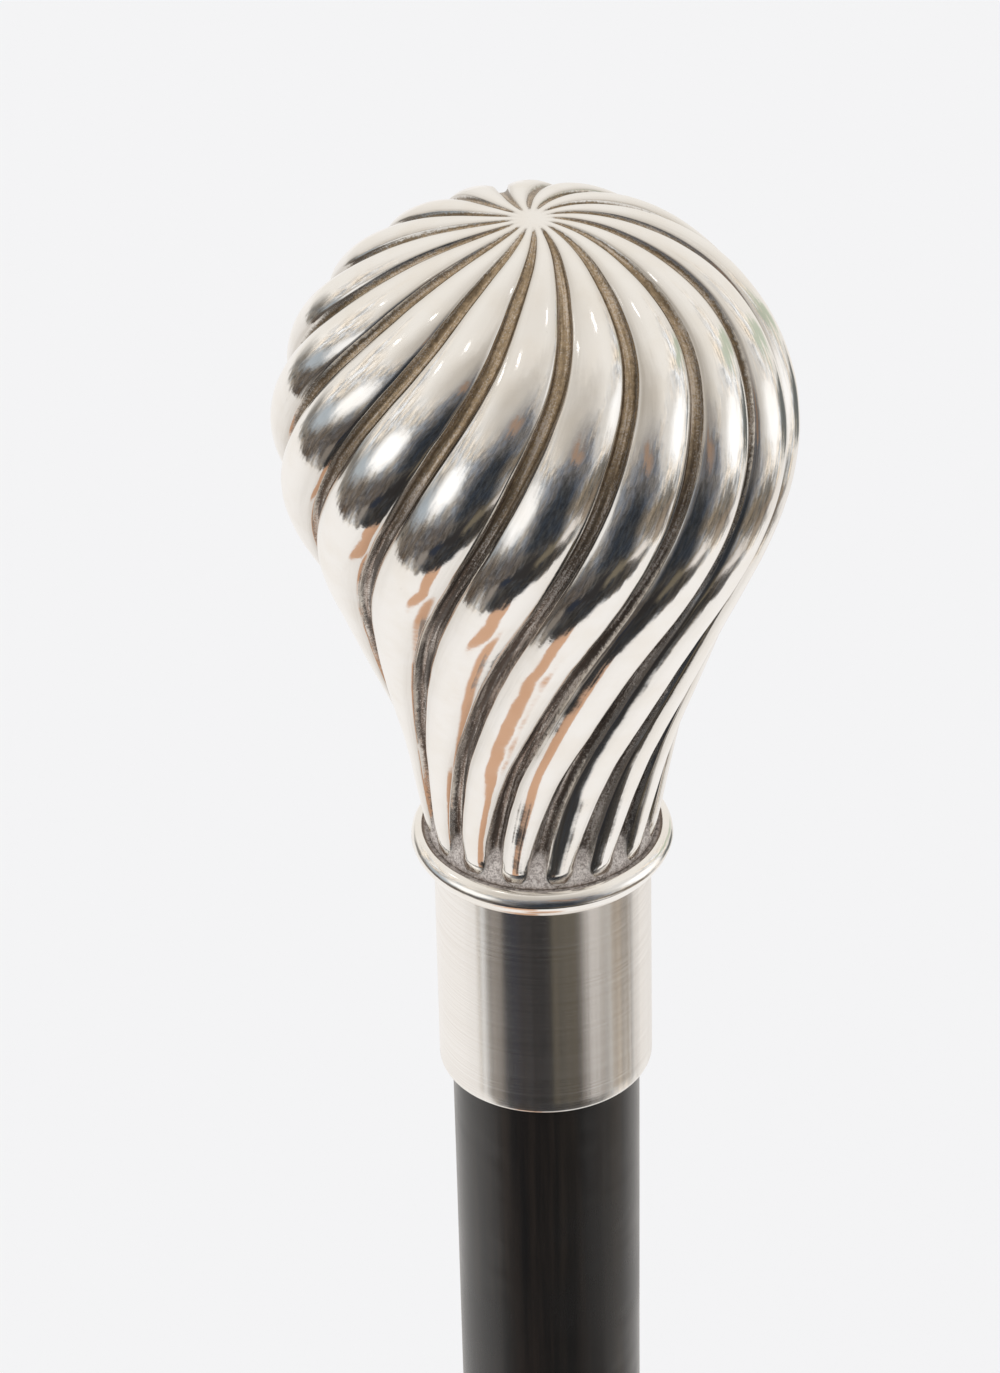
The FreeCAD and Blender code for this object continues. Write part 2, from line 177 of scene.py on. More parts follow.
def smooth_law(places, values, at):
    """Cubic through the stations that never swings past a station's value."""
    places = np.array(places, float)
    values = np.array(values, float)
    step = np.diff(places)
    slope = np.diff(values) / step
    bends = [slope[0]]
    for before, after in zip(slope, slope[1:]):
        same_way = before * after > 0
        bends.append(2 * before * after / (before + after) if same_way else 0)
    bends.append(slope[-1])
    bends = np.array(bends)
    k = np.clip(np.searchsorted(places, at, side="right") - 1, 0, len(step) - 1)
    t = np.clip((at - places[k]) / step[k], 0, 1)
    start = (1 + 2 * t) * (1 - t) ** 2 * values[k] + t * (1 - t) ** 2 * step[k] * bends[k]
    end = t * t * (3 - 2 * t) * values[k + 1] + t * t * (t - 1) * step[k] * bends[k + 1]
    return start + end


def ease(low, high, at):
    """Smooth step from 0 at the low place to 1 at the high one."""
    t = np.clip((at - low) / (high - low), 0, 1)
    return t * t * (3 - 2 * t)


def stray(at, rng):
    """Slow random wave along a length, between about -1 and 1."""
    wave = np.zeros_like(at)
    for count in STRAY_WAVES:
        size = rng.uniform(*WAVE_SHARES)
        phase = rng.uniform(0, math.tau)
        wave += size * np.sin(math.tau * count * at / STRAY_LENGTH + phase)
    return wave / len(STRAY_WAVES)


class KnobLine:
    """Line over the top of a lobe, by its length from the foot."""

    def __init__(self):
        spots = {name: (across * KNOB_RADIUS, up * KNOB_HEIGHT)
                 for name, (across, up) in BODY_LINE_SHARES.items()}
        widest = spots["widest"][1]
        for name, degrees in CROWN_ANGLES.items():
            angle = math.radians(degrees)
            rise = (KNOB_HEIGHT - widest) * math.sin(angle)
            spots[name] = (KNOB_RADIUS * math.cos(angle), widest + rise)
        spots["pole"] = (0, KNOB_HEIGHT)
        points = np.array(list(spots.values()))
        far_side = points[:-1][::-1][:FAR_SIDE_POINTS] * (-1, 1)
        path = np.vstack([points, far_side])
        at = np.concatenate([[0], np.cumsum(np.hypot(*np.diff(path, axis=0).T))])
        fine = np.linspace(0, at[len(points) - 1], LINE_STEPS + 1)
        self.radius = natural_spline(at, path[:, 0], fine)
        self.height = natural_spline(at, path[:, 1], fine)
        steps = np.hypot(np.diff(self.radius), np.diff(self.height))
        self.along = np.concatenate([[0], np.cumsum(steps)])
        self.length = self.along[-1]
        self.place = {name: np.interp(at[i], fine, self.along) for i, name in enumerate(spots)}

    def law(self, table, at):
        """A table of stations read at each length."""
        names = list(table)
        return smooth_law([self.place[name] for name in names], list(table.values()), at)

    def outline(self, at):
        """Radius, height and the outward normal's two parts at each length."""
        radius = np.interp(at, self.along, self.radius)
        height = np.interp(at, self.along, self.height)
        across = np.gradient(self.radius, self.along)
        up = np.gradient(self.height, self.along)
        out = np.interp(at, self.along, up)
        lift = -np.interp(at, self.along, across)
        size = np.hypot(out, lift)
        return radius, height, out / size, lift / size


class Section(NamedTuple):
    """Shape across one groove and the lobe beside it, with a row for each length."""
    groove_share: np.ndarray
    tip_width: np.ndarray
    hollow: np.ndarray
    groove_drop: np.ndarray
    lobe_drop: np.ndarray
    flare: np.ndarray
    pole_fade: np.ndarray


def knob_rows(line):
    """Length from the foot of each row of points."""
    low = np.linspace(0, FOOT_STRETCH, FOOT_ROWS, endpoint=False)
    body = np.linspace(FOOT_STRETCH, line.length - POLE_STRETCH, BODY_ROWS, endpoint=False)
    left = (1 - np.linspace(0, 1, POLE_ROWS, endpoint=False)) ** POLE_CROWDING
    return np.concatenate([low, body, line.length - POLE_STRETCH * left])


def knob_section(line, at, radius):
    """Drops of grooves and lobes below the line over the lobes."""
    flare = ease(0, FLARE_LENGTH, at)
    pole_fade = ease(*POLE_FADE, line.length - at)
    tip = 1 - np.clip((at - LOBE_TIP) / TIP_LENGTH, 0, 1)
    tip_width = np.clip((1 - tip ** TIP_POWER) ** (1 / TIP_POWER), THINNEST_LOBE_SHARE, 1)
    open_share = line.law(GROOVE_SHARES, at)
    spacing = SPACING * radius
    depth = spacing * open_share / 2 * line.law(DEPTH_SHARES, at) * pole_fade
    edge = line.law(ROUND_SHARES, at) * spacing * flare * pole_fade
    floor = (edge + depth) * flare
    crest = floor * (1 - tip_width)
    edge = np.minimum(edge + crest, floor)
    hollow = 1 - np.abs(ACROSS_GROOVE) ** line.law(FLOOR_POWERS, at)
    return Section(
        groove_share=1 - (1 - open_share) * tip_width,
        tip_width=tip_width,
        hollow=hollow,
        groove_drop=edge + (floor - edge) * hollow,
        lobe_drop=crest + (edge - crest) * np.abs(ACROSS_LOBE) ** LOBE_POWER,
        flare=flare,
        pole_fade=pole_fade,
    )


def stray_edge(section, at, rng):
    """Place of a groove's edge from its middle, as a part of the lobe spacing."""
    return section.groove_share / 2 * (1 + EDGE_STRAY_SHARE * stray(at, rng))


def knob_columns(section, at):
    """Places round the knob, in lobe spacings, and drops below the line, of all columns."""
    rng = np.random.default_rng(SEED)
    first_left = -stray_edge(section, at, rng)
    left = first_left
    places, drops = [], []
    for number in range(LOBES):
        right = stray_edge(section, at, rng)
        next_left = -stray_edge(section, at, rng)
        if number == LOBES - 1:
            next_left = first_left
        groove_at = (left + right) / 2 + ACROSS_GROOVE * (right - left) / 2
        lobe_at = (right + 1 + next_left) / 2 + ACROSS_LOBE * (1 + next_left - right) / 2
        places.append(number + np.hstack([groove_at, lobe_at]))
        swell = CREST_STRAY * (1 + stray(at, rng)) * section.pole_fade * section.flare
        drops.append(np.hstack([section.groove_drop, section.lobe_drop + swell * (1 - ACROSS_LOBE ** 2)]))
        left = next_left
    return np.hstack(places), np.hstack(drops)


def knob_fields(section, at):
    """Where a point is hollow, on the stippled ground or beside a groove, and its length."""
    groove = np.hstack([section.hollow, np.zeros((len(at), LOBE_COLUMNS))])
    floor_ground = GROUND_EDGE_SHARE + (1 - GROUND_EDGE_SHARE) * section.hollow
    floor_ground = floor_ground * (1 - ease(*GROUND_FADE, at))
    lobe_ground = (1 - section.tip_width) * np.ones((1, LOBE_COLUMNS))
    beside = np.hstack([np.ones(GROOVE_COLUMNS), np.abs(ACROSS_LOBE) ** BESIDE_POWER])
    groove = np.tile(groove, LOBES) * section.pole_fade
    return {
        "groove": groove,
        "ground": np.tile(np.hstack([floor_ground, lobe_ground]), LOBES),
        "beside": np.tile(beside, LOBES) * section.pole_fade,
        "along": np.broadcast_to(at, groove.shape),
    }


def knob_surface():
    """Points of the knob in rows from foot to pole, with what the silver's finish follows."""
    line = KnobLine()
    at = knob_rows(line)[:, None]
    radius, height, out, lift = line.outline(at)
    section = knob_section(line, at, radius)
    places, drop = knob_columns(section, at)
    turn = np.radians(line.law(TWIST, at)) + SPACING * places
    spread = radius - out * drop
    up = np.minimum(KNOB_FOOT + (height - lift * drop), KNOB_TOP)
    points = np.stack([spread * np.sin(turn), -spread * np.cos(turn), up], axis=2)
    return points, knob_fields(section, at)


def grid_mesh(name, points, poles=None, fields=None):
    """Rings of points in rows from low to high, closed by two poles or joined end to end."""
    rows, columns = points.shape[:2]
    index = np.arange(rows * columns).reshape(rows, columns)
    if poles is None:
        index = np.vstack([index, index[:1]])
    following = np.roll(index, -1, axis=1)
    quads = np.stack([index[:-1], following[:-1], following[1:], index[1:]], axis=2).reshape(-1, 4)
    vertices = points.reshape(-1, 3).tolist()
    faces = quads.tolist()
    places = [[(c / columns, r / rows), ((c + 1) / columns, r / rows),
               ((c + 1) / columns, (r + 1) / rows), (c / columns, (r + 1) / rows)]
              for r in range(len(index) - 1) for c in range(columns)]
    rings = ((following[0][::-1], index[0][::-1]), (index[-1], following[-1]))
    for edge, (pole, (ring, beside)) in enumerate(zip(poles or (), rings)):
        top = len(vertices)
        vertices.append(list(pole))
        for number, (a, b) in enumerate(zip(ring.tolist(), beside.tolist())):
            faces.append([a, b, top])
            places.append([(number / columns, edge), ((number + 1) / columns, edge),
                           ((number + 0.5) / columns, edge)])
    mesh = bpy.data.meshes.new(name)
    mesh.from_pydata(vertices, [], faces)
    mesh.polygons.foreach_set("use_smooth", [True] * len(mesh.polygons))
    layer = mesh.uv_layers.new(name="UVMap")
    layer.data.foreach_set("uv", [value for face in places for place in face for value in place])
    for field, grid in (fields or {}).items():
        values = grid.reshape(-1).tolist() + ([grid[0, 0], grid[-1, 0]] if poles else [])
        mesh.attributes.new(field, "FLOAT", "POINT").data.foreach_set("value", values)
    piece = bpy.data.objects.new(name, mesh)
    bpy.context.scene.collection.objects.link(piece)
    return piece


def turned_piece(name, line, columns, capped=False, shift=None):
    """Surface turned about the stick's axis through (radius, height) points, lowest first."""
    line = np.array(line, float)
    angle = np.linspace(0, math.tau, columns, endpoint=False)[None, :]
    radius = line[:, :1] * np.ones_like(angle)
    height = line[:, 1:] * np.ones_like(angle)
    if shift is not None:
        radius = radius + shift(angle, height)
    points = np.stack([radius * np.cos(angle), radius * np.sin(angle), height], axis=2)
    poles = [(0, 0, line[0, 1]), (0, 0, line[-1, 1])] if capped else None
    return grid_mesh(name, points, poles)


def arc(centre, radius, start, end, steps):
    """Points of a round stretch in a turned piece's line, angles in degrees from outward."""
    angles = np.radians(np.linspace(start, end, steps))
    return [(centre[0] + radius * math.cos(a), centre[1] + radius * math.sin(a)) for a in angles]


def finish_piece(piece, node, look):
    piece.data.materials.append(look)
    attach(piece, "root")
    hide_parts(node)


def make_knob(look):
    points, fields = knob_surface()
    poles = [(0, 0, KNOB_FOOT), (0, 0, KNOB_TOP)]
    piece = grid_mesh("silver_knob", points, poles, fields)
    finish_piece(piece, "knob_shell", look)


# Bead ring, round above and filed nearly flat below

BEAD_RADIUS = 1.46 * MM
BEAD_DROP = 1.12 * MM
BEAD_CENTRE = (RING_RADIUS - BEAD_RADIUS, KNOB_FOOT - BEAD_DROP)
SEAT_RADIUS = 11.75 * MM
RING_BORE = 4.25 * MM
RING_SOFT_EDGE = 0.12 * MM
# Stretches of the bead's round, in degrees from outward, and how bowed the filed one is
BEAD_ARC = (14, 72)
FLAT_ARC = (-64, 4)
FLAT_RADIUS_SHARE = 2.4
BEAD_STEPS = 28
FLAT_STEPS = 12
RING_COLUMNS = 288


def filed_side():
    """Gently bowed stretch between two points of the bead's round."""
    middle = math.radians(sum(FLAT_ARC) / 2)
    half = math.radians((FLAT_ARC[1] - FLAT_ARC[0]) / 2)
    bow = FLAT_RADIUS_SHARE * BEAD_RADIUS
    sweep = math.asin(BEAD_RADIUS * math.sin(half) / bow)
    back = bow * math.cos(sweep) - BEAD_RADIUS * math.cos(half)
    centre = (BEAD_CENTRE[0] - back * math.cos(middle), BEAD_CENTRE[1] - back * math.sin(middle))
    start = math.degrees(middle) - math.degrees(sweep)
    end = math.degrees(middle) + math.degrees(sweep)
    return arc(centre, bow, start, end, FLAT_STEPS)


def make_ring(look):
    bead = filed_side() + arc(BEAD_CENTRE, BEAD_RADIUS, *BEAD_ARC, BEAD_STEPS)
    base = max(RING_LOW, bead[0][1])
    lip = bead[-1][1]
    line = [(RING_BORE, base), (bead[0][0] - RING_SOFT_EDGE, base)]
    line += bead
    line += [(SEAT_RADIUS, lip - RING_SOFT_EDGE), (SEAT_RADIUS - RING_SOFT_EDGE, KNOB_FOOT)]
    line += [(RING_BORE, KNOB_FOOT)]
    piece = turned_piece("bead_ring", line, RING_COLUMNS)
    finish_piece(piece, "knob_base_ring", look)


# Collar

BOND_GAP = 0.05 * MM
COLLAR_BORE = SHAFT_RADIUS + BOND_GAP
COLLAR_LOW_EDGE = 0.35 * MM
COLLAR_TOP_EDGE = 0.2 * MM
COLLAR_COLUMNS = 256
COLLAR_ROWS = 24
EDGE_STEPS = 7


def make_collar(look):
    low_centre = (COLLAR_RADIUS - COLLAR_LOW_EDGE, COLLAR_LOW + COLLAR_LOW_EDGE)
    top_centre = (COLLAR_RADIUS - COLLAR_TOP_EDGE, COLLAR_TOP - COLLAR_TOP_EDGE)
    low = arc(low_centre, COLLAR_LOW_EDGE, -90, 0, EDGE_STEPS)
    high = arc(top_centre, COLLAR_TOP_EDGE, 0, 90, EDGE_STEPS)
    heights = np.linspace(low[-1][1], high[0][1], COLLAR_ROWS)[1:-1]
    wall = [(COLLAR_RADIUS, height) for height in heights]
    line = [(COLLAR_BORE, COLLAR_LOW)] + low + wall + high + [(COLLAR_BORE, COLLAR_TOP)]
    piece = turned_piece("satin_collar", line, COLLAR_COLUMNS)
    finish_piece(piece, "collar_tube", look)


# Shaft

SHAFT_FOOT_RADIUS = 6.8 * MM
PLUG_RADIUS = 6 * MM
SHAFT_COLUMNS = 192
SHAFT_ROWS = 220
SHAFT_WAVE = 0.04 * MM
# Each hollow's count round the shaft, its count along it and where it begins, in radians
WAVE_TURNS = ((2, 7, 0.4), (3, 11, 1.9), (5, 17, 3.1))


def shaft_wave(angle, height):
    """Slight hollows that hand scraping leaves, never outside the turned size."""
    length = SHAFT_TOP - SLEEVE_TOP
    wave = sum(np.sin(turns * angle + math.tau * times * height / length + phase)
               for turns, times, phase in WAVE_TURNS)
    shown = ease(SLEEVE_TOP, SLEEVE_TOP + STRAY_LENGTH, height)
    return -SHAFT_WAVE * (0.5 - wave / (2 * len(WAVE_TURNS))) * shown


def make_shaft(look):
    line = [(PLUG_RADIUS, SHAFT_LOW), (PLUG_RADIUS, SLEEVE_TOP), (SHAFT_FOOT_RADIUS, SLEEVE_TOP)]
    heights = np.linspace(SLEEVE_TOP, SHAFT_TOP, SHAFT_ROWS)[1:]
    reach = (heights - SLEEVE_TOP) / (SHAFT_TOP - SLEEVE_TOP)
    radii = SHAFT_FOOT_RADIUS + (SHAFT_RADIUS - SHAFT_FOOT_RADIUS) * reach
    line += list(zip(radii, heights))
    piece = turned_piece("ebony_shaft", line, SHAFT_COLUMNS, capped=True, shift=shaft_wave)
    finish_piece(piece, "shaft", look)


# Node trees


def linear(red, green, blue):
    """Scene colour of a screen colour given in levels up to 255."""
    levels = [level / 255 for level in (red, green, blue)]
    return [x / 12.92 if x <= 0.04045 else ((x + 0.055) / 1.055) ** 2.4 for x in levels]


NOISE_MIDDLE = 0.5
# Sockets of a colour mix: its share, its two colours and its result
MIX_SHARE, MIX_LOW, MIX_HIGH, MIX_RESULT = 0, 6, 7, 2


class Graph:
    """Node tree written as calls: each adds its nodes and gives back their output."""

    def __init__(self, tree):
        self.tree = tree
        tree.nodes.clear()

    def add(self, kind, inputs=None, output=0, **settings):
        node = self.tree.nodes.new(kind)
        for name, value in settings.items():
            setattr(node, name, value)
        for name, value in (inputs or {}).items():
            self.put(node.inputs[name], value)
        return node.outputs[output]

    def put(self, socket, value):
        if isinstance(value, bpy.types.NodeSocket):
            self.tree.links.new(value, socket)
        elif socket.type == "RGBA":
            socket.default_value = (*value, 1)
        else:
            socket.default_value = value

    def math(self, operation, *values):
        return self.add("ShaderNodeMath", dict(enumerate(values)), operation=operation)

    def times(self, value, factor):
        return self.math("MULTIPLY", value, factor)

    def plus(self, value, other, share):
        """A value with a share of another on top."""
        return self.math("ADD", value, self.times(other, share))

    def blend(self, shares, first, second):
        return self.plus(self.times(first, shares[0]), second, shares[1])

    def strayed(self, value, noise, reach):
        """A value that a noise moves by up to half the reach each way."""
        return self.plus(value, self.math("SUBTRACT", noise, NOISE_MIDDLE), reach)

    def step(self, value, low, high, start=0, end=1):
        """Smooth step of a value from one level to another."""
        inputs = {"Value": value, "From Min": low, "From Max": high, "To Min": start, "To Max": end}
        return self.add("ShaderNodeMapRange", inputs, interpolation_type="SMOOTHSTEP")

    def mix(self, share, low, high):
        node = self.tree.nodes.new("ShaderNodeMix")
        node.data_type = "RGBA"
        for place, value in ((MIX_SHARE, share), (MIX_LOW, low), (MIX_HIGH, high)):
            self.put(node.inputs[place], value)
        return node.outputs[MIX_RESULT]

    def noise(self, place, scale, detail=2, roughness=0.5):
        inputs = {"Vector": place, "Scale": scale, "Detail": detail, "Roughness": roughness}
        return self.add("ShaderNodeTexNoise", inputs)

    def place(self, space="Object"):
        return self.add("ShaderNodeTexCoord", output=space)

    def stretched(self, scale, space="Object"):
        """Coordinates scaled by axis."""
        return self.add("ShaderNodeMapping", {"Vector": self.place(space), "Scale": scale})

    def parts(self, vector):
        """The three parts of a vector."""
        node = self.tree.nodes.new("ShaderNodeSeparateXYZ")
        self.put(node.inputs[0], vector)
        return node.outputs

    def attribute(self, name):
        return self.add("ShaderNodeAttribute", output="Fac", attribute_name=name)

    def bump(self, height, distance, normal=None):
        inputs = {"Height": height, "Distance": distance}
        if normal is not None:
            inputs["Normal"] = normal
        return self.add("ShaderNodeBump", inputs)

    def surface(self, **sockets):
        names = {"Base_Color": "Base Color", "Specular": "Specular IOR Level"}
        inputs = {names.get(key, key.replace("_", " ")): value for key, value in sockets.items()}
        shader = self.add("ShaderNodeBsdfPrincipled", inputs)
        self.add_output(shader, "ShaderNodeOutputMaterial")

    def add_output(self, shader, kind):
        self.put(self.tree.nodes.new(kind).inputs["Surface"], shader)


def material(name, recipe):
    made = bpy.data.materials.new(name)
    made.use_nodes = True
    recipe(Graph(made.node_tree))
    return made


# Silver of the knob and its ring

SILVER = linear(251, 249, 246)
SILVER_WARM = linear(247, 243, 237)
TARNISH_DARK = linear(82, 73, 66)
# Warm tarnish, also used as the painted shade under the ring and for the darker bands at the seams
WARM_TARNISH_AND_SHADE = linear(156, 140, 127)
TARNISH_BROWN = linear(188, 164, 132)
TARNISH_OLIVE = linear(94, 80, 62)
# Grey of the stain and painted shade on the lobes beside the grooves
STAIN_AND_SHADE = linear(196, 190, 182)
WORN_SILVER = linear(226, 219, 212)
GROUND_GREY = linear(226, 218, 212)
GROUND_DARK = linear(156, 146, 140)

# Spots per metre of each pattern, and the streaks' counts round the knob and up it
BROAD_SPOTS, HAND_WAVES, SMALL_WAVES, FINE_SPOTS, GRAIN_SPOTS = 260, 330, 1100, 2200, 6500
STREAKS = (LOBES * 14, 9, 1)
# Levels of a pattern between which one look gives way to the next
TONE_LEVELS = (0.35, 0.75)
TARNISH_LEVELS = (0.14, 0.62)
STREAK_LEVELS = (0.42, 0.7)
GOLDEN_LEVELS = (0.7, 1.3)
RUBBED_LEVELS = (0.5, 0.6)
STAIN_AND_SHADE_LEVELS = (0.3, 0.7)
GROUND_LEVELS = (0.3, 0.7)
STIPPLE_LEVELS = (0.38, 0.6)
# How much of the first and the second of two patterns is in a third
FLECK_SHARES = (0.4, 0.6)
GOLDEN_SHARES = (0.35, 1.4)
RUBBED_SHARES = (0.5, 0.5)
# Least and most of the stain and painted shade beside the grooves, and wear of the tarnish low down and
# towards the pole
STAIN_AND_SHADE_SHARES = (0.45, 0.8)
WORN_SHARES = (0.9, 0.5)
# How much the small waves and the rough floors of the grooves stand out
SMALL_WAVE_SHARE = 0.4
CUT_SHARE = 0.6
# How far the fine pattern moves the tarnish's edge and the stipple
TARNISH_STRAY = 0.9
STIPPLE_STRAY = 0.5
# Lengths up the knob over which the tarnish turns golden, and where the darker band at the foot ends
CROWN_TARNISH = (43 * MM, 62 * MM)
SEAM_DARKENING = (0.3 * MM, 0.55 * MM)
SEAM_STRAY = 0.6 * MM
WAVE_DEPTH = 0.02 * MM
PIT_DEPTH = 0.08 * MM
POLISHED_ROUGH, TARNISHED_ROUGH, GROUND_ROUGH, UNEVEN_ROUGH = 0.07, 0.3, 0.55, 0.04
TARNISH_METAL_SHARE = 0.65
GROUND_METAL_SHARE = 0.25


def knob_tarnish(graph, groove, along, fine, grain, streaks):
    """Grey tarnish low down, golden towards the pole, rubbed bright in spots."""
    crown = graph.step(along, *CROWN_TARNISH)
    dark = graph.mix(graph.step(streaks, *STREAK_LEVELS), TARNISH_DARK, WARM_TARNISH_AND_SHADE)
    golden = graph.blend(GOLDEN_SHARES, groove, graph.blend(FLECK_SHARES, fine, streaks))
    brown = graph.mix(graph.step(golden, *GOLDEN_LEVELS), TARNISH_OLIVE, TARNISH_BROWN)
    rubbed = graph.step(graph.blend(RUBBED_SHARES, grain, streaks), *RUBBED_LEVELS)
    worn = graph.times(rubbed, graph.step(crown, 0, 1, *WORN_SHARES))
    return graph.mix(worn, graph.mix(crown, dark, brown), WORN_SILVER)


def knob_ground(graph, along, fine, grain):
    """Stippled ground between the lobe tips, darker where it meets the ring."""
    stipple = graph.step(graph.strayed(grain, fine, STIPPLE_STRAY), *STIPPLE_LEVELS)
    darkened = graph.step(graph.plus(along, fine, SEAM_STRAY), *SEAM_DARKENING, 1, 0)
    return graph.mix(darkened, graph.mix(stipple, GROUND_DARK, GROUND_GREY), WARM_TARNISH_AND_SHADE)


def knob_silver(graph):
    place = graph.place()
    groove, ground, along = (graph.attribute(name) for name in ("groove", "ground", "along"))
    broad = graph.noise(place, BROAD_SPOTS, 3)
    fine = graph.noise(place, FINE_SPOTS, 3, 0.6)
    grain = graph.noise(place, GRAIN_SPOTS, 3, 0.7)
    streaks = graph.noise(graph.stretched(STREAKS, "UV"), 1, 3, 0.6)

    tarnish = graph.step(graph.strayed(groove, fine, TARNISH_STRAY), *TARNISH_LEVELS)
    on_ground = graph.step(ground, *GROUND_LEVELS)
    # Lobes beside the grooves are greyed: partly stain, partly painted shade
    stain_and_shade = graph.step(streaks, *STAIN_AND_SHADE_LEVELS, *STAIN_AND_SHADE_SHARES)
    stained_and_shaded = graph.times(graph.attribute("beside"), stain_and_shade)
    colour = graph.mix(graph.step(broad, *TONE_LEVELS), SILVER, SILVER_WARM)
    colour = graph.mix(stained_and_shaded, colour, STAIN_AND_SHADE)
    colour = graph.mix(tarnish, colour, knob_tarnish(graph, groove, along, fine, grain, streaks))
    colour = graph.mix(on_ground, colour, knob_ground(graph, along, fine, grain))

    rough = graph.step(tarnish, 0, 1, POLISHED_ROUGH, TARNISHED_ROUGH)
    rough = graph.math("MAXIMUM", rough, graph.times(on_ground, GROUND_ROUGH))
    rough = graph.plus(rough, broad, UNEVEN_ROUGH)
    small_waves = graph.noise(place, SMALL_WAVES, 4, 0.6)
    waves = graph.plus(graph.noise(place, HAND_WAVES, 2), small_waves, SMALL_WAVE_SHARE)
    cuts = graph.math("MAXIMUM", graph.times(groove, CUT_SHARE), ground)
    normal = graph.bump(graph.times(fine, cuts), PIT_DEPTH, graph.bump(waves, WAVE_DEPTH))
    bare = graph.step(on_ground, 0, 1, 1, GROUND_METAL_SHARE)
    metallic = graph.math("MINIMUM", bare, graph.step(tarnish, 0, 1, 1, TARNISH_METAL_SHARE))
    graph.surface(Base_Color=colour, Metallic=metallic, Roughness=rough, Normal=normal)


# Spots per metre of the ring's fine and broad patterns
RING_SPOTS, RING_TONES = 1800, 240
RING_TONE_LEVELS = (0.3, 0.75)
SEAT_STRAY = 0.3 * MM
# Distances from the seat's radius between which the ground ends and the darker band in it begins
SEAT_EDGE = (-0.05 * MM, 0.05 * MM)
SEAT_DARKENING = (-0.3 * MM, -0.1 * MM)
# Heights over the collar between which the painted shade of the corner under the ring ends
UNDER_RING_SHADE = (0.05 * MM, 0.25 * MM)
RING_ROUGH = 0.1


def ring_silver(graph):
    place = graph.place()
    x, y, z = graph.parts(place)
    radius = graph.math("SQRT", graph.math("ADD", graph.math("POWER", x, 2), graph.math("POWER", y, 2)))
    fine = graph.noise(place, RING_SPOTS, 4, 0.65)
    broad = graph.noise(place, RING_TONES, 2)
    strayed = graph.strayed(radius, fine, SEAT_STRAY)
    on_ground = graph.step(strayed, SEAT_RADIUS + SEAT_EDGE[0], SEAT_RADIUS + SEAT_EDGE[1], 1, 0)
    at_seam = graph.step(strayed, SEAT_RADIUS + SEAT_DARKENING[0], SEAT_RADIUS + SEAT_DARKENING[1])
    # Painted shade: the ring's underside is darkened just above the collar
    under = graph.step(z, COLLAR_TOP + UNDER_RING_SHADE[0], COLLAR_TOP + UNDER_RING_SHADE[1], 1, 0)
    darkened = graph.math("MAXIMUM", graph.times(on_ground, at_seam), under)
    stipple = graph.mix(graph.step(fine, *STIPPLE_LEVELS), GROUND_DARK, GROUND_GREY)
    colour = graph.mix(graph.step(broad, *RING_TONE_LEVELS), SILVER, SILVER_WARM)
    colour = graph.mix(on_ground, colour, stipple)
    colour = graph.mix(darkened, colour, WARM_TARNISH_AND_SHADE)
    dull = graph.math("MAXIMUM", darkened, on_ground)
    rough = graph.plus(graph.step(dull, 0, 1, RING_ROUGH, GROUND_ROUGH), broad, UNEVEN_ROUGH)
    metallic = graph.step(dull, 0, 1, 1, GROUND_METAL_SHARE)
    normal = graph.bump(broad, WAVE_DEPTH)
    graph.surface(Base_Color=colour, Metallic=metallic, Roughness=rough, Normal=normal)


# Satin silver of the collar, with brush lines round it

COLLAR_DARK, COLLAR_LIGHT = linear(239, 235, 230), linear(251, 249, 246)
# Spots per metre across, across and along the stick
BRUSH_LINES = (22, 22, 9500)
WIDE_LINES = (30, 30, 1200)
COLLAR_BLOTCHES = 180
BRUSH_LEVELS = (0.3, 0.66)
BRUSH_ROUGH_LEVELS = (0.25, 0.75)
BRUSH_ROUGH = (0.1, 0.16)
WIDE_LINE_SHARE = 0.03
BRUSH_DEPTH = 0.0016 * MM
BRUSH_PULL = 0.75
QUARTER_TURN = 0.25


def collar_silver(graph):
    brushed = graph.noise(graph.stretched(BRUSH_LINES), 1, 3, 0.6)
    wide = graph.noise(graph.stretched(WIDE_LINES), 1, 2)
    blotch = graph.noise(graph.place(), COLLAR_BLOTCHES, 2)
    colour = graph.mix(graph.step(brushed, *BRUSH_LEVELS), COLLAR_DARK, COLLAR_LIGHT)
    rough = graph.plus(graph.step(brushed, *BRUSH_ROUGH_LEVELS, *BRUSH_ROUGH), blotch, UNEVEN_ROUGH)
    normal = graph.bump(graph.plus(brushed, wide, WIDE_LINE_SHARE), BRUSH_DEPTH)
    tangent = graph.add("ShaderNodeTangent", direction_type="RADIAL", axis="Z")
    graph.surface(Base_Color=colour, Metallic=1, Roughness=rough, Anisotropic=BRUSH_PULL,
                  Anisotropic_Rotation=QUARTER_TURN, Tangent=tangent, Normal=normal)


# Ebony of the shaft

EBONY_DARK, EBONY_LIGHT, EBONY_PATCH = linear(22, 21, 21), linear(40, 34, 30), linear(26, 25, 25)
# Spots per metre across, across and along the stick
WOOD_GRAIN = (900, 900, 26)
WOOD_PORES = (2600, 2600, 240)
WOOD_DENTS = (170, 170, 210)
WOOD_PATCHES = 60
PATCH_LEVELS = (0.5, 0.7)
DENT_LEVELS = (0.1, 0.5)
POLISH_LEVELS = (0.3, 0.7)
WOOD_ROUGH = (0.17, 0.26)
PORE_SHARE = 0.06
DENT_DEPTH = 0.03 * MM
WOOD_SPECULAR = 0.5


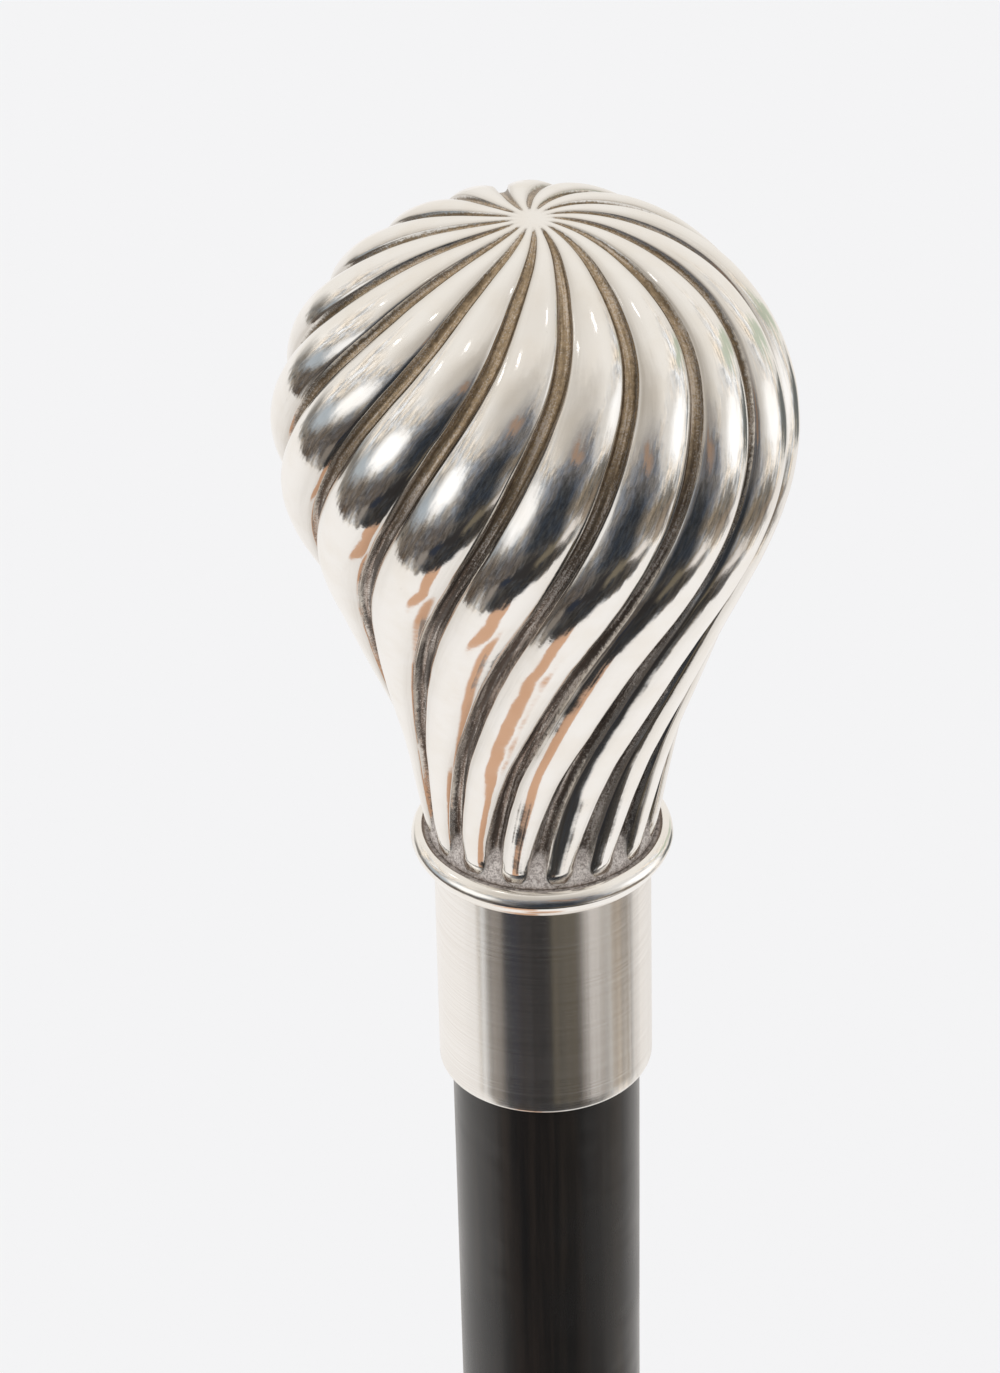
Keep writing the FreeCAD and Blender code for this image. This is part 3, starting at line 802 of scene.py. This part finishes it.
def ebony(graph):
    grain = graph.noise(graph.stretched(WOOD_GRAIN), 1, 5, 0.6)
    pores = graph.noise(graph.stretched(WOOD_PORES), 1, 3, 0.6)
    patches = graph.noise(graph.place(), WOOD_PATCHES, 3)
    dents = graph.noise(graph.stretched(WOOD_DENTS), 1, 1)
    colour = graph.mix(graph.step(grain, *TONE_LEVELS), EBONY_DARK, EBONY_LIGHT)
    colour = graph.mix(graph.step(patches, *PATCH_LEVELS), colour, EBONY_PATCH)
    rough = graph.plus(graph.step(patches, *POLISH_LEVELS, *WOOD_ROUGH), pores, PORE_SHARE)
    height = graph.math("ADD", graph.times(pores, PORE_SHARE), graph.step(dents, *DENT_LEVELS))
    normal = graph.bump(height, DENT_DEPTH)
    graph.surface(Base_Color=colour, Roughness=rough, Specular=WOOD_SPECULAR, Normal=normal)


# Turned metal and resin of the pieces inside and at the foot

TURNED_RINGS = (80, 80, 6000)
TURNED_LEVELS = (0.25, 0.75)
TURNED_STAINS = 300
METAL_STAIN_LEVELS = (0.35, 0.7)
TURNED_DEPTH = 0.008 * MM
RESIN_DARK, RESIN_LIGHT = linear(120, 84, 50), linear(168, 128, 82)
RESIN_CLOUDS, RESIN_BUBBLES = 150, 1500
BUBBLE_LEVELS = (0.3, 0.7)
RESIN_ROUGH = (0.35, 0.6)
BUBBLE_DEPTH = 0.05 * MM


def turned_metal(dark, light, low_rough, high_rough):
    """Recipe of a turned metal with fine rings and slight stains."""
    def recipe(graph):
        rings = graph.noise(graph.stretched(TURNED_RINGS), 1, 3, 0.6)
        stains = graph.noise(graph.place(), TURNED_STAINS, 4)
        colour = graph.mix(graph.step(stains, *METAL_STAIN_LEVELS), linear(*dark), linear(*light))
        rough = graph.step(rings, *TURNED_LEVELS, low_rough, high_rough)
        normal = graph.bump(rings, TURNED_DEPTH)
        graph.surface(Base_Color=colour, Metallic=1, Roughness=rough, Normal=normal)
    return recipe


def resin(graph):
    place = graph.place()
    cloud = graph.noise(place, RESIN_CLOUDS, 4)
    bubbles = graph.noise(place, RESIN_BUBBLES, 2)
    colour = graph.mix(cloud, RESIN_DARK, RESIN_LIGHT)
    rough = graph.step(bubbles, *BUBBLE_LEVELS, *RESIN_ROUGH)
    graph.surface(Base_Color=colour, Roughness=rough, Normal=graph.bump(bubbles, BUBBLE_DEPTH))


# Looks of the solids that stay as they are: darkest and lightest colour, least and most rough
NODE_LOOKS = {
    "knob_filler": ("amber_resin", resin),
    "knob_insert": ("turned_brass", turned_metal((176, 138, 72), (206, 170, 104), 0.22, 0.38)),
    "joint_stud": ("stud_steel_look", turned_metal((120, 120, 122), (160, 160, 162), 0.25, 0.4)),
    "collar_top_plate": ("plate_silver_look", turned_metal((215, 210, 202), (235, 231, 225), 0.2, 0.35)),
    "ferrule_sleeve": ("ferrule_brass_look", turned_metal((182, 146, 84), (214, 180, 118), 0.16, 0.32)),
    "ferrule_tip": ("tip_steel_look", turned_metal((118, 116, 114), (158, 156, 154), 0.28, 0.45)),
    "ferrule_pin": ("pin_brass_look", turned_metal((168, 132, 70), (198, 162, 98), 0.25, 0.4)),
}


def dress_nodes():
    for node, (name, recipe) in NODE_LOOKS.items():
        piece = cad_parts[node]
        piece.data.materials.clear()
        piece.data.materials.append(material(name, recipe))


# Studio, as polished metal sees it by direction

# Colour behind the stick, and level of the plain light that falls on it from all round
BACKGROUND = linear(244, 244, 245)
ROOM_LIGHT = 0.74

SKY_LOW, SKY_HIGH = linear(240, 236, 230), linear(231, 226, 219)
SKY_RISE = (50, 85)
PAPER = linear(246, 243, 240)
HAND = linear(209, 168, 139)
LAMP_WHITE = (3, 3, 3)
BOX_WHITE = (1.15, 1.15, 1.15)
# Elevation below which the stick sees the paper it stands over, from left to front to right
PAPER_LEFT, PAPER_FRONT, PAPER_RIGHT = -14, -58, -40
PAPER_LEFT_TURN, PAPER_RIGHT_TURN = (-140, -16), (0, 130)
PAPER_EDGE = (-1.5, 1.5)
# Elevation below which the warm tone fills the view straight down
NADIR_EDGE = (-85, -81)
# Ripples in the view, and degrees by which they move the edges of what is seen
RIPPLES = 9
RISE_STRAY, TURN_STRAY, HAND_STRAY = 18, 14, 6


class Patch(NamedTuple):
    """Soft oval of the reflected studio; azimuth counts from the front to the right, in degrees."""
    place: tuple
    half: tuple
    soft: float
    colour: tuple
    lean: float = 0


STUDIO = {
    "left_haze": Patch((-46, 4), (58, 26), 0.35, linear(178, 178, 177)),
    "front_sky": Patch((-5, 50), (58, 18), 0.6, linear(198, 192, 184)),
    "front_haze": Patch((10, 6), (48, 36), 0.4, linear(122, 123, 127)),
    "left_wall": Patch((-116, -8), (24, 9), 0.5, linear(136, 133, 128)),
    "left_corner": Patch((-84, -19), (30, 13), 0.4, linear(108, 103, 99)),
    "left_mark": Patch((-94, -26), (10, 5), 0.5, linear(92, 80, 70)),
    "low_left": Patch((-44, -27), (28, 17), 0.45, linear(98, 94, 92)),
    "opening": Patch((6, -14), (30, 32), 0.4, linear(56, 60, 66)),
    "opening_foot": Patch((34, -40), (46, 14), 0.5, linear(80, 77, 74), -0.2),
    "front_floor": Patch((-12, -48), (52, 12), 0.4, linear(60, 60, 61)),
    "right_slope": Patch((68, -21), (34, 11), 0.5, linear(128, 121, 111), -0.25),
    "right_floor": Patch((108, -35), (46, 6), 0.4, linear(132, 123, 114), -0.15),
    "dark_green": Patch((132, -20), (18, 8), 0.4, linear(108, 111, 109), -0.4),
}
# What shines in it, and what the collar sees straight ahead
STUDIO_LIGHTS = {
    "right_haze": Patch((70, 20), (20, 16), 0.6, linear(222, 219, 215)),
    "blue": Patch((-94, 0), (18, 7), 0.7, linear(176, 185, 193)),
    "left_box": Patch((-62, 10), (23, 13), 0.45, BOX_WHITE),
    "right_box": Patch((88, 4), (20, 15), 0.45, BOX_WHITE, -0.35),
    "green": Patch((128, 4), (22, 5), 0.4, linear(192, 200, 183), -0.75),
    "amber": Patch((15, 30), (14, 4.5), 0.6, linear(158, 134, 116), -0.55),
    "core": Patch((-8, -34), (42, 6), 0.2, linear(52, 50, 50)),
    "core_edge": Patch((-52, -34), (7, 5), 0.3, linear(140, 133, 126)),
    "core_blue": Patch((-34, -34), (10, 5), 0.3, linear(48, 53, 64)),
    "brown": Patch((22, -34), (17, 5), 0.4, linear(116, 108, 93)),
    "gleam": Patch((53, -34), (16, 5), 0.5, linear(232, 226, 221)),
    "tan": Patch((83, -34), (10, 5), 0.3, linear(158, 146, 132)),
    "right_paper": Patch((142, -35), (40, 6), 0.25, linear(236, 232, 228)),
}
HANDS = (
    Patch((-26, -62), (20, 10), 0.08, HAND),
    Patch((-46, -71), (34, 7), 0.08, HAND, -0.12),
)
# Pairs of small round lamps, each pair by its middle
LAMPS = ((-100, 44), (-68, 68), (102, 69))
LAMP_SIZE = 1.2
LAMP_SPACING = 2.2
LAMP_SOFT = 0.4

# Mottles of the darker directions: where the light ones begin, upwards and sideways, and how
# fine, strong and tinted the mottles are
LIT_RISE, LIT_TURN = (25, 45), (110, 140)
MOTTLES, TINTS = 16, 7
MOTTLE_LEVELS, MOTTLE_SHARES = (0.38, 0.62), (0.25, 1.75)
TINT_LEVELS = (0.42, 0.6)
DARK_TINTS = linear(255, 246, 234), linear(238, 245, 255)


def studio_patch(graph, azimuth, elevation, patch):
    """How much of a patch a direction sees, 1 inside."""
    turn = graph.math("SUBTRACT", azimuth, patch.place[0])
    turn = graph.math("WRAP", turn, -180, 180)
    rise = graph.math("SUBTRACT", elevation, patch.place[1])
    if patch.lean:
        rise = graph.math("SUBTRACT", rise, graph.times(turn, patch.lean))
    wide, tall = patch.half
    across = graph.math("POWER", graph.math("DIVIDE", turn, wide), 2)
    up = graph.math("POWER", graph.math("DIVIDE", rise, tall), 2)
    reach = graph.math("SQRT", graph.math("ADD", across, up))
    return graph.step(reach, 1 - patch.soft, 1 + patch.soft, 1, 0)


def with_patches(graph, colour, azimuth, elevation, patches):
    for patch in patches:
        colour = graph.mix(studio_patch(graph, azimuth, elevation, patch), colour, patch.colour)
    return colour


def mottled(graph, colour, direction, azimuth, elevation):
    """Darker and lighter, warmer and cooler spots in front, below the bright upper part."""
    turned = graph.math("ABSOLUTE", azimuth)
    lit = graph.math("MAXIMUM", graph.step(elevation, *LIT_RISE), graph.step(turned, *LIT_TURN))
    spots = graph.step(graph.noise(direction, MOTTLES, 8, 0.9), *MOTTLE_LEVELS, *MOTTLE_SHARES)
    spots = graph.math("ADD", graph.times(lit, graph.math("SUBTRACT", 1, spots)), spots)
    tint = graph.mix(graph.step(graph.noise(direction, TINTS, 4, 0.7), *TINT_LEVELS), *DARK_TINTS)
    tint = graph.mix(lit, tint, (1, 1, 1))
    tinted = graph.add("ShaderNodeVectorMath", {0: colour, 1: tint}, operation="MULTIPLY")
    return graph.add("ShaderNodeVectorMath", {0: tinted, "Scale": spots}, operation="SCALE")


def with_paper(graph, colour, azimuth, elevation, jagged, ripple):
    """The pale sweep of paper below, with the warm tone in it."""
    left = graph.step(azimuth, *PAPER_LEFT_TURN, PAPER_LEFT, PAPER_FRONT)
    right = graph.step(azimuth, *PAPER_RIGHT_TURN, 0, PAPER_RIGHT - PAPER_FRONT)
    depth = graph.math("SUBTRACT", graph.math("ADD", left, right), jagged)
    little = graph.strayed(elevation, ripple, HAND_STRAY)
    hand = graph.step(elevation, *NADIR_EDGE, 1, 0)
    for patch in HANDS:
        hand = graph.math("MAXIMUM", hand, studio_patch(graph, azimuth, little, patch))
    return graph.mix(graph.step(depth, *PAPER_EDGE), colour, graph.mix(hand, PAPER, HAND))


def lamp_patches():
    """Both lamps of each pair, spread so that they look alike at any height."""
    for turn, rise in LAMPS:
        spread = math.cos(math.radians(rise))
        for side in (-0.5, 0.5):
            spot = (turn + side * LAMP_SPACING / spread, rise + side)
            yield Patch(spot, (LAMP_SIZE / spread, LAMP_SIZE), LAMP_SOFT, LAMP_WHITE)


def studio_colour(graph):
    """Colour that polished metal sees in each direction."""
    direction = graph.place("Generated")
    x, y, z = graph.parts(direction)
    azimuth = graph.math("DEGREES", graph.math("ARCTAN2", x, graph.times(y, -1)))
    elevation = graph.math("DEGREES", graph.math("ARCSINE", z))
    ripple = graph.noise(direction, RIPPLES, 4, 0.65)
    jagged = graph.strayed(elevation, ripple, RISE_STRAY)
    strayed = graph.strayed(azimuth, ripple, TURN_STRAY)
    colour = graph.mix(graph.step(elevation, *SKY_RISE), SKY_LOW, SKY_HIGH)
    colour = with_patches(graph, colour, strayed, jagged, STUDIO.values())
    colour = mottled(graph, colour, direction, azimuth, elevation)
    colour = with_patches(graph, colour, strayed, jagged, STUDIO_LIGHTS.values())
    colour = with_paper(graph, colour, azimuth, elevation, jagged, ripple)
    return with_patches(graph, colour, azimuth, elevation, lamp_patches())


def make_world():
    world = bpy.data.worlds.new("studio")
    bpy.context.scene.world = world
    world.use_nodes = True
    graph = Graph(world.node_tree)
    rays = graph.tree.nodes.new("ShaderNodeLightPath")
    seen = graph.math("MAXIMUM", rays.outputs["Is Camera Ray"], rays.outputs["Is Transmission Ray"])
    room = graph.mix(rays.outputs["Is Glossy Ray"], [ROOM_LIGHT] * 3, studio_colour(graph))
    background = graph.add("ShaderNodeBackground", {"Color": graph.mix(seen, room, BACKGROUND)})
    graph.add_output(background, "ShaderNodeOutputWorld")


# Floor and lamp

FLOOR_SIZE = 14
FLOOR_GREY = linear(240, 240, 241)
FLOOR_PATCHES = 3
FLOOR_LEVELS, FLOOR_TONE_SHARES = (0.2, 0.8), (0.995, 1)
FLOOR_ROUGH = 0.9
SUN_STRENGTH = 1.0
SUN_WIDTH = math.radians(50)
SUN_TURN = (math.radians(28), math.radians(-22), 0)


def floor_paper(graph):
    tone = graph.step(graph.noise(graph.place(), FLOOR_PATCHES, 2), *FLOOR_LEVELS, *FLOOR_TONE_SHARES)
    colour = graph.mix(tone, FLOOR_GREY, BACKGROUND)
    graph.surface(Base_Color=colour, Roughness=FLOOR_ROUGH, Specular=0)


def make_floor():
    half = FLOOR_SIZE / 2
    mesh = bpy.data.meshes.new("floor")
    corners = [(x * half, y * half, 0) for x, y in ((-1, -1), (1, -1), (1, 1), (-1, 1))]
    mesh.from_pydata(corners, [], [(0, 1, 2, 3)])
    mesh.materials.append(material("pale_paper", floor_paper))
    floor = bpy.data.objects.new("floor", mesh)
    floor.visible_glossy = False
    bpy.context.scene.collection.objects.link(floor)


def make_sun():
    data = bpy.data.lights.new("soft_lamp", "SUN")
    data.energy = SUN_STRENGTH
    data.angle = SUN_WIDTH
    lamp = bpy.data.objects.new("soft_lamp", data)
    lamp.rotation_euler = SUN_TURN
    lamp.visible_glossy = False
    bpy.context.scene.collection.objects.link(lamp)


# Camera, fitted to the photograph's frame

PHOTO_SIZE = (1000, 1373)
FOCAL_PIXELS = 5653.78
ELEVATION = math.radians(34.34)
ROLL = math.radians(-1.2701)
DISTANCE = 543.956 * MM
AIM = Vector((-3.8145 * MM, 0, 863.4207 * MM))
# Height of the sensor in the camera's own millimetres
SENSOR = 24
FARTHEST = 50


def make_camera():
    ahead = Vector((0, math.cos(ELEVATION), -math.sin(ELEVATION)))
    right = Vector((1, 0, 0))
    up = right.cross(ahead)
    turn = Matrix((right, up, -ahead)).transposed().to_4x4()
    data = bpy.data.cameras.new("camera")
    data.sensor_fit = "VERTICAL"
    data.sensor_height = SENSOR
    data.lens = FOCAL_PIXELS / PHOTO_SIZE[1] * SENSOR
    data.clip_end = FARTHEST
    camera = bpy.data.objects.new("camera", data)
    bpy.context.scene.collection.objects.link(camera)
    spot = Matrix.Translation(AIM - ahead * DISTANCE)
    camera.matrix_world = spot @ turn @ Matrix.Rotation(ROLL, 4, "Z")
    bpy.context.scene.camera = camera


make_knob(material("knob_silver_look", knob_silver))
make_ring(material("ring_silver_look", ring_silver))
make_collar(material("collar_silver_look", collar_silver))
make_shaft(material("ebony_look", ebony))
dress_nodes()
make_world()
make_floor()
make_sun()
make_camera()
bpy.context.scene.view_settings.view_transform = "Standard"
